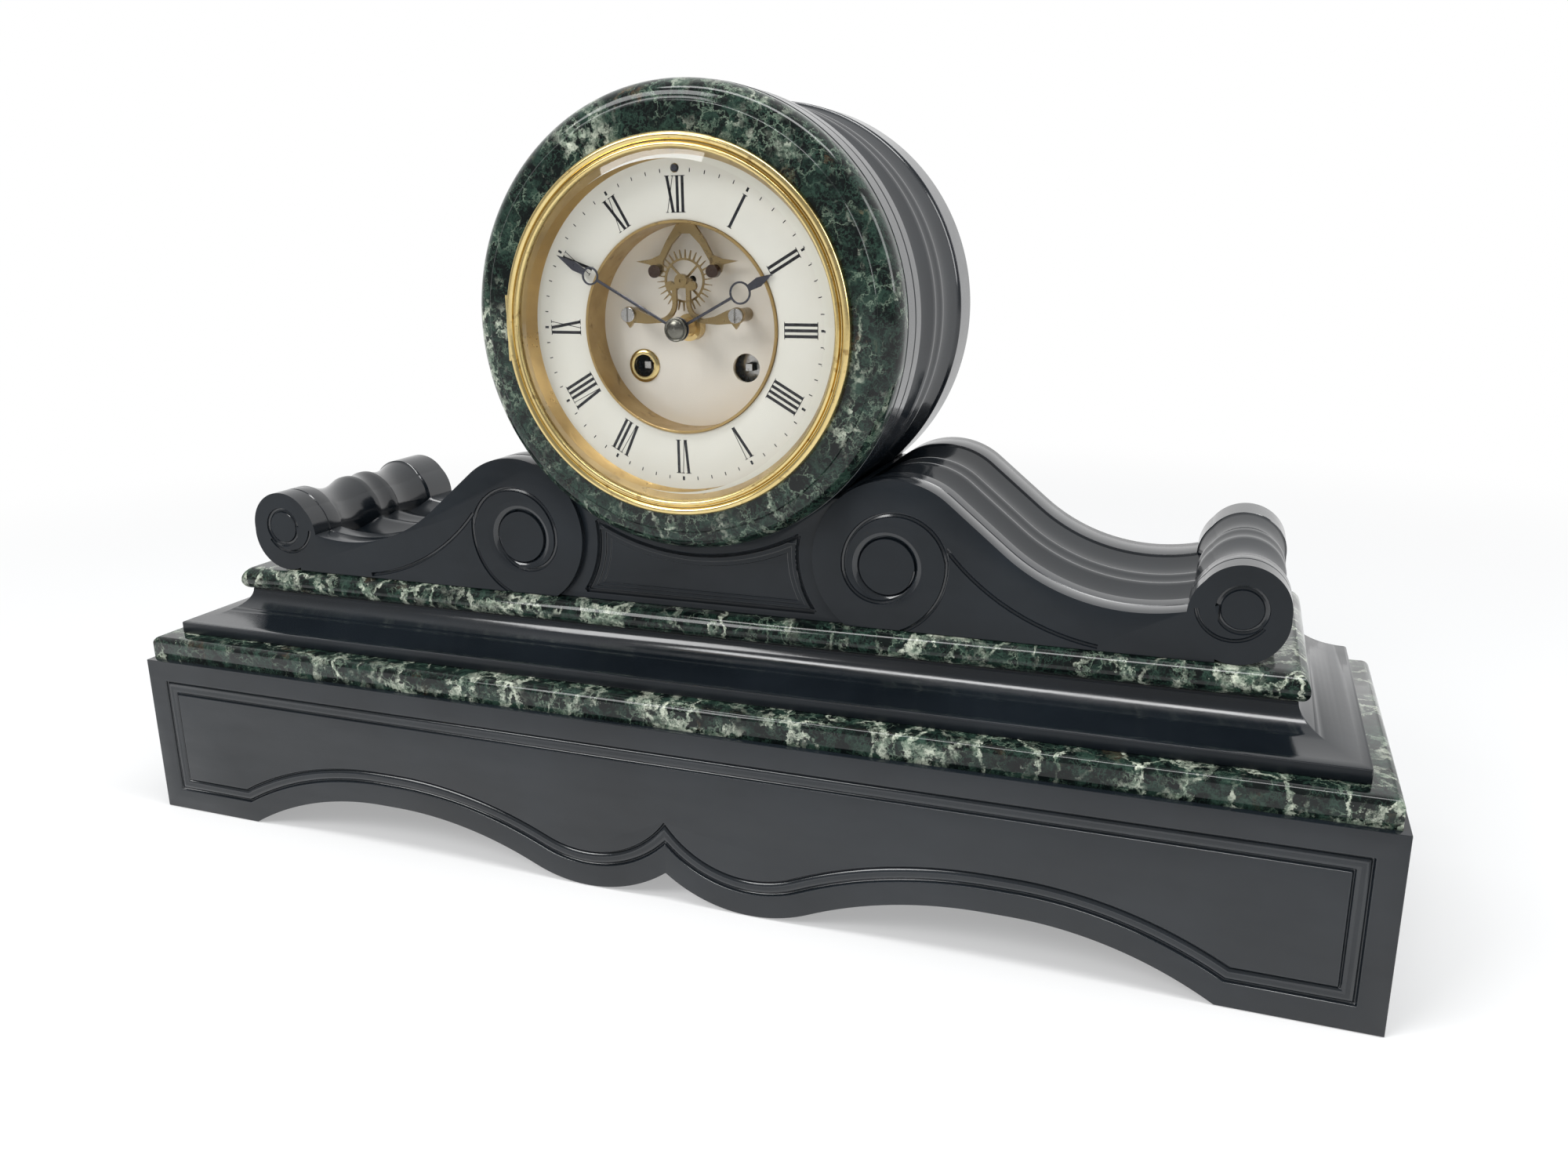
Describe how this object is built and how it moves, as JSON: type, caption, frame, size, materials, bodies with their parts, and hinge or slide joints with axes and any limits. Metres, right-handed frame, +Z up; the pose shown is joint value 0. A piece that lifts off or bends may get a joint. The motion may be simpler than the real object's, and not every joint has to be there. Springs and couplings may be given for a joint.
{
  "type": "drumhead mantel clock",
  "caption": "Slate and green marble drumhead mantel clock with scroll sides, enamel Roman dial, visible escapement and a striking movement.",
  "frame": {"origin": "centre of the footprint, on the surface the clock stands on", "axes": "+Z up, -Y towards the viewer of the dial, +X to the right seen from the front"},
  "size_m": [0.5, 0.136, 0.2992],
  "materials": {
    "slate": "polished",
    "marble": "polished",
    "gilt": "polished",
    "movement_brass": "satin",
    "steel": "satin",
    "blued_steel": "satin",
    "enamel": "gloss",
    "glass": "clear",
    "bell_metal": "satin"
  },
  "bodies": {
    "case": {"plinth": "slate", "lower_marble_slab": "marble", "ogee_moulding": "slate", "upper_marble_slab": "marble", "saddle_block": "slate", "scroll_left": "slate", "scroll_right": "slate", "end_roll_left": "slate", "end_roll_right": "slate", "drum_barrel": "slate", "marble_ring": "marble", "case_ring": "gilt", "sight_ring": "gilt", "chapter_ring": "enamel", "dial_pan": "gilt", "dial_centre": "enamel", "winding_grommet": "gilt", "false_plate": "movement_brass", "front_plate": "movement_brass", "back_plate": "movement_brass", "plate_pillars": "movement_brass", "escape_cock": "movement_brass", "cock_screws": "steel", "pallet_cock": "movement_brass", "bell": "bell_metal", "bell_stand": "steel", "rear_ring": "movement_brass", "straps": "movement_brass", "strap_screws": "steel", "hinge_pins": "steel"},
    "bezel_door": {"bezel": "gilt", "bezel_glass": "glass"},
    "back_door": {"back_door": "movement_brass"},
    "minute_work": {"minute_hand": "blued_steel", "hand_collet": "steel", "cannon_pinion": "steel"},
    "hour_work": {"hour_hand": "blued_steel", "hour_wheel": "movement_brass"},
    "minute_wheel": {"minute_wheel": "movement_brass"},
    "escape_wheel": {"escape_wheel": "movement_brass"},
    "third_wheel": {"third_wheel": "movement_brass"},
    "centre_wheel": {"centre_wheel": "movement_brass"},
    "mid_wheel": {"mid_wheel": "movement_brass"},
    "going_barrel": {"going_barrel": "movement_brass"},
    "going_arbor": {"going_arbor": "steel"},
    "going_click": {"going_click": "steel"},
    "anchor": {"anchor": "blued_steel"},
    "pendulum": {"suspension_spring": "steel", "pendulum_rod": "steel", "pendulum_bob": "movement_brass", "rating_nut": "movement_brass"},
    "fly": {"fly": "movement_brass"},
    "warning_wheel": {"warning_wheel": "movement_brass"},
    "pin_wheel": {"pin_wheel": "movement_brass"},
    "strike_barrel": {"strike_barrel": "movement_brass"},
    "count_wheel": {"count_wheel": "movement_brass"},
    "strike_arbor": {"strike_arbor": "steel"},
    "strike_click": {"strike_click": "steel"},
    "hammer": {"hammer": "steel"},
    "regulator_arbor": {"regulator_arbor": "blued_steel"}
  },
  "joints": [
    {"name": "bezel_hinge", "type": "hinge", "parent": "case", "child": "bezel_door", "pos_m": [-0.0662, -0.047, 0.2145], "axis": [0, 0, -1], "range_deg": [0, 95]},
    {"name": "back_door_hinge", "type": "hinge", "parent": "case", "child": "back_door", "pos_m": [-0.0503, 0.0652, 0.2145], "axis": [0, 0, 1], "range_deg": [0, 110]},
    {"name": "minute_hand", "type": "hinge", "parent": "case", "child": "minute_work", "pos_m": [0, -0.018, 0.2145], "axis": [0, 1, 0], "continuous": true},
    {"name": "hour_hand", "type": "hinge", "parent": "case", "child": "hour_work", "pos_m": [0, -0.018, 0.2145], "axis": [0, 1, 0], "continuous": true},
    {"name": "minute_wheel", "type": "hinge", "parent": "case", "child": "minute_wheel", "pos_m": [0, -0.018, 0.2025], "axis": [0, 1, 0], "continuous": true},
    {"name": "escape_wheel", "type": "hinge", "parent": "case", "child": "escape_wheel", "pos_m": [0, -0.018, 0.2313], "axis": [0, 1, 0], "continuous": true},
    {"name": "third_wheel", "type": "hinge", "parent": "case", "child": "third_wheel", "pos_m": [0.01269, -0.018, 0.22358], "axis": [0, 1, 0], "continuous": true},
    {"name": "centre_wheel", "type": "hinge", "parent": "case", "child": "centre_wheel", "pos_m": [0, -0.018, 0.2145], "axis": [0, 1, 0], "continuous": true},
    {"name": "mid_wheel", "type": "hinge", "parent": "case", "child": "mid_wheel", "pos_m": [0, -0.018, 0.1909], "axis": [0, 1, 0], "continuous": true},
    {"name": "going_barrel", "type": "hinge", "parent": "case", "child": "going_barrel", "pos_m": [0.0206, -0.018, 0.1998], "axis": [0, 1, 0], "continuous": true},
    {"name": "going_arbor", "type": "hinge", "parent": "case", "child": "going_arbor", "pos_m": [0.0206, -0.018, 0.1998], "axis": [0, 1, 0], "continuous": true},
    {"name": "going_click", "type": "hinge", "parent": "case", "child": "going_click", "pos_m": [0.033, -0.018, 0.2065], "axis": [0, 1, 0], "range_deg": [0, 15]},
    {"name": "anchor", "type": "hinge", "parent": "case", "child": "anchor", "pos_m": [0, -0.018, 0.255], "axis": [0, 1, 0], "range_deg": [-1.75, 1.75]},
    {"name": "pendulum", "type": "hinge", "parent": "case", "child": "pendulum", "pos_m": [0, 0.038, 0.262], "axis": [0, 1, 0], "range_deg": [-1.3, 1.3]},
    {"name": "fly", "type": "hinge", "parent": "case", "child": "fly", "pos_m": [-0.0055, -0.018, 0.24161], "axis": [0, 1, 0], "continuous": true},
    {"name": "warning_wheel", "type": "hinge", "parent": "case", "child": "warning_wheel", "pos_m": [-0.0175, -0.018, 0.23611], "axis": [0, 1, 0], "continuous": true},
    {"name": "pin_wheel", "type": "hinge", "parent": "case", "child": "pin_wheel", "pos_m": [-0.02701, -0.018, 0.22131], "axis": [0, 1, 0], "continuous": true},
    {"name": "strike_barrel", "type": "hinge", "parent": "case", "child": "strike_barrel", "pos_m": [-0.0206, -0.018, 0.1998], "axis": [0, 1, 0], "continuous": true},
    {"name": "count_wheel", "type": "hinge", "parent": "case", "child": "count_wheel", "pos_m": [-0.022, -0.018, 0.20194], "axis": [0, 1, 0], "continuous": true},
    {"name": "strike_arbor", "type": "hinge", "parent": "case", "child": "strike_arbor", "pos_m": [-0.0206, -0.018, 0.1998], "axis": [0, 1, 0], "continuous": true},
    {"name": "strike_click", "type": "hinge", "parent": "case", "child": "strike_click", "pos_m": [-0.033, -0.018, 0.2065], "axis": [0, -1, 0], "range_deg": [0, 15]},
    {"name": "hammer", "type": "hinge", "parent": "case", "child": "hammer", "pos_m": [-0.038, -0.018, 0.2385], "axis": [0, 1, 0], "range_deg": [0, 12]},
    {"name": "regulator", "type": "hinge", "parent": "case", "child": "regulator_arbor", "pos_m": [0, -0.018, 0.2695], "axis": [0, 1, 0], "continuous": true}
  ],
  "couplings": [
    {"joint": "hour_hand", "follows": "minute_hand", "ratio": 0.083333},
    {"joint": "minute_wheel", "follows": "minute_hand", "ratio": -0.33333},
    {"joint": "third_wheel", "follows": "escape_wheel", "ratio": -0.071429},
    {"joint": "centre_wheel", "follows": "escape_wheel", "ratio": 0.0059524},
    {"joint": "mid_wheel", "follows": "escape_wheel", "ratio": -0.00085034},
    {"joint": "going_barrel", "follows": "escape_wheel", "ratio": 0.00011338},
    {"joint": "warning_wheel", "follows": "fly", "ratio": -0.1},
    {"joint": "pin_wheel", "follows": "fly", "ratio": 0.011111},
    {"joint": "strike_barrel", "follows": "fly", "ratio": -0.0014815},
    {"joint": "count_wheel", "follows": "fly", "ratio": -0.0012346},
    {"joint": "anchor", "follows": "pendulum", "ratio": 1.3415}
  ]
}
